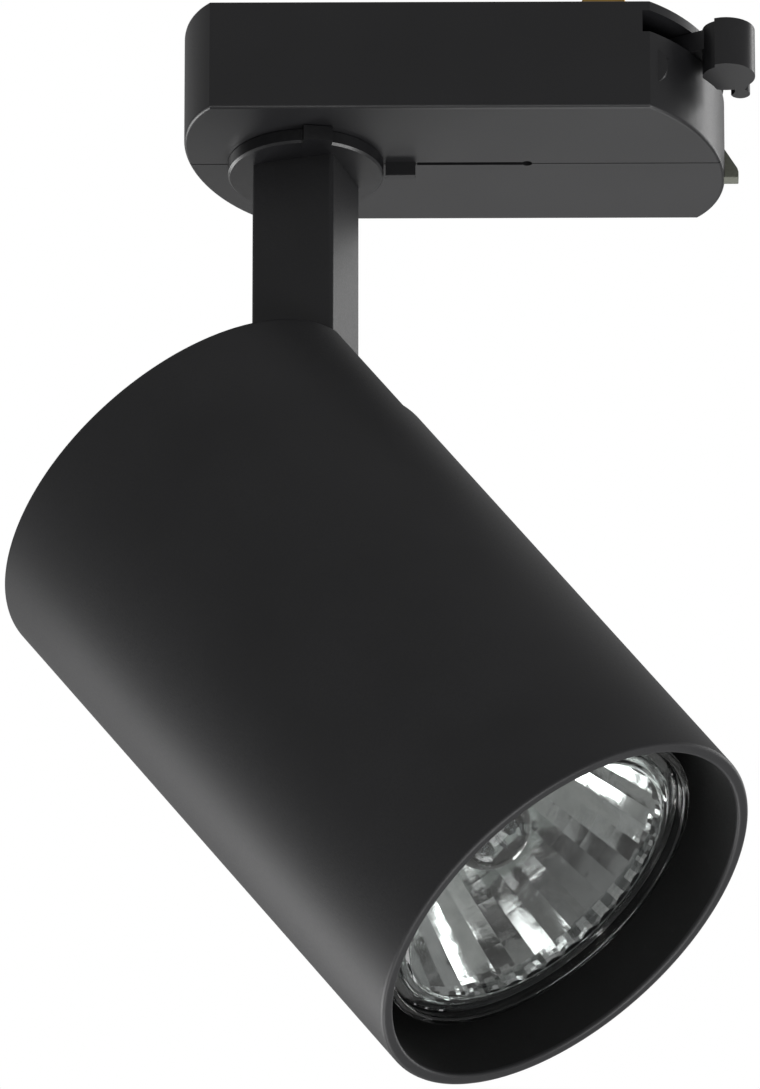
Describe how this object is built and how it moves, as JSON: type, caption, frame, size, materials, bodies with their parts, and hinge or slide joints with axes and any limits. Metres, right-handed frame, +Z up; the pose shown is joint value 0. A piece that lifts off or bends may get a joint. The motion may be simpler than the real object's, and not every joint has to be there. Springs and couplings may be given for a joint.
{
  "type": "track spotlight",
  "caption": "Cylinder spotlight that tilts on a square stem, swivels under a track adaptor with a locking lever, and holds a twist-lock reflector lamp.",
  "frame": {"origin": "where the stem's swivel axis meets the adaptor's top face, which bears on the track", "axes": "+Z up out of the adaptor's top face into the track; +X along the adaptor towards its lever end; -Y is the near long side"},
  "size_m": [0.1024, 0.0756, 0.1599],
  "materials": {
    "black_moulding": "fine moulded matte black",
    "olive_moulding": "matte olive grey",
    "black_disc": "smooth black",
    "nylon": "natural off-white nylon",
    "screw_steel": "blackened or zinc-plated steel",
    "contact_brass": "plain brass strip",
    "plated_steel": "zinc plated",
    "black_powder_coat": "matte black powder coat",
    "bracket_steel": "zinc-plated pressed steel",
    "friction_fibre": "red vulcanised fibre",
    "lead_sleeve": "woven glass sleeve over silicone",
    "steatite": "unglazed off-white steatite",
    "lamp_reflector": "faceted coated glass reflector",
    "lamp_glass": "clear glass",
    "tungsten": "tungsten coil",
    "lamp_pin_metal": "nickel-plated pins"
  },
  "bodies": {
    "adaptor": {"housing_front": "black_moulding", "housing_rear": "black_moulding", "housing_screw_1": "screw_steel", "housing_screw_2": "screw_steel", "guide_block": "black_moulding", "earth_clip": "contact_brass", "end_lug": "olive_moulding", "swivel_stop": "black_disc", "floor_bush": "nylon", "terminal_block": "nylon", "terminal_screw_1": "screw_steel", "terminal_screw_2": "screw_steel", "terminal_screw_3": "screw_steel"},
    "lever": {"lock_lever": "black_moulding", "rotor": "nylon", "contact_live": "contact_brass", "contact_neutral": "contact_brass", "lever_screw": "screw_steel"},
    "stem": {"swivel_disc": "black_disc", "swivel_nipple": "plated_steel", "swivel_washer": "plated_steel", "swivel_nut": "plated_steel", "stem": "black_powder_coat", "pivot_bush": "contact_brass", "stem_lead_1": "lead_sleeve", "stem_lead_2": "lead_sleeve"},
    "head": {"head_tube": "black_powder_coat", "back_cap": "black_powder_coat", "pivot_bracket": "bracket_steel", "pivot_pin": "screw_steel", "pivot_nut": "screw_steel", "friction_washer_1": "friction_fibre", "friction_washer_2": "friction_fibre", "cap_post_1": "plated_steel", "cap_post_2": "plated_steel", "cap_screw_1": "screw_steel", "cap_screw_2": "screw_steel", "tube_screw_1": "screw_steel", "tube_screw_2": "screw_steel", "lampholder": "steatite", "holder_contact_1": "contact_brass", "holder_contact_2": "contact_brass", "holder_screw_1": "screw_steel", "holder_screw_2": "screw_steel", "holder_lead_1": "lead_sleeve", "holder_lead_2": "lead_sleeve"},
    "lamp": {"reflector": "lamp_reflector", "cover_glass": "lamp_glass", "capsule": "lamp_glass", "filament": "tungsten", "lamp_base": "steatite", "lamp_pin_1": "lamp_pin_metal", "lamp_pin_2": "lamp_pin_metal"}
  },
  "joints": [
    {"name": "stem_swivel", "type": "hinge", "parent": "adaptor", "child": "stem", "pos_m": [0, 0, -0.0163], "axis": [0, 0, 1], "range_deg": [-265, 65]},
    {"name": "head_tilt", "type": "hinge", "parent": "stem", "child": "head", "pos_m": [0, 0, -0.0627], "axis": [-0.3107, -0.9505, 0], "range_deg": [-37.1, 52.9]},
    {"name": "lever_lock", "type": "hinge", "parent": "adaptor", "child": "lever", "pos_m": [0.041, 0, 0], "axis": [0, 0, 1], "range_deg": [-15, 28]},
    {"name": "lamp_twist", "type": "hinge", "parent": "head", "child": "lamp", "pos_m": [0.00487, -0.00159, -0.09268], "axis": [0.5734, -0.1874, -0.7976], "range_deg": [0, 25]}
  ]
}
